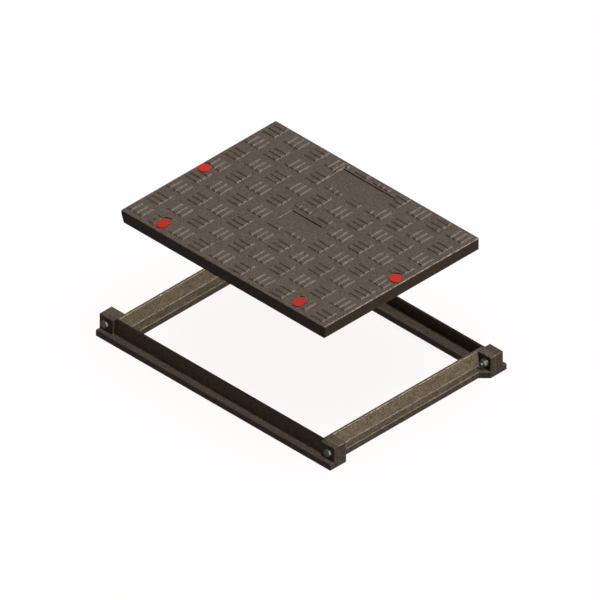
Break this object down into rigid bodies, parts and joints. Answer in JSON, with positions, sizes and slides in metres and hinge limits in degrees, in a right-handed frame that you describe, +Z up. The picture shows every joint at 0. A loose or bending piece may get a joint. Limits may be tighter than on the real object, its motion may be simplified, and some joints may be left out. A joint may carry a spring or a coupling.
{
  "type": "cable pit cover",
  "caption": "Solid-top cast-iron cable pit cover with a raised bar tread, shown lifted above its bolted frame of long and short rails.",
  "frame": {"origin": "centre of the frame's footprint, at the underside of its flanges; the pocket's centre is 4 mm in front of it, as the back foot reaches 8 mm further out than the front one", "axes": "+X along the long rails, +Y along the short rails towards the sunk panel near one long side, +Z up"},
  "size_m": [0.744, 0.56, 0.358],
  "materials": {
    "cast_cover": "dark coated, matt and slightly rough",
    "cast_long_rail": "dark coated, matt and slightly rough",
    "cast_short_rail": "bare, grainy and olive-brown",
    "red_plug": "satin",
    "steel_fastener": "dull plain steel"
  },
  "bodies": {
    "root": {"cover": "cast_cover", "rail_front": "cast_long_rail", "rail_back": "cast_long_rail", "rail_left": "cast_short_rail", "rail_right": "cast_short_rail", "plug_left": "red_plug", "plug_right": "red_plug", "plug_front_left": "red_plug", "plug_front_right": "red_plug", "bolt_front_left": "steel_fastener", "bolt_front_right": "steel_fastener", "bolt_back_left": "steel_fastener", "bolt_back_right": "steel_fastener", "nut_front_left": "steel_fastener", "nut_front_right": "steel_fastener", "nut_back_left": "steel_fastener", "nut_back_right": "steel_fastener", "washer_front_left": "steel_fastener", "washer_front_right": "steel_fastener", "washer_back_left": "steel_fastener", "washer_back_right": "steel_fastener"}
  },
  "joints": []
}
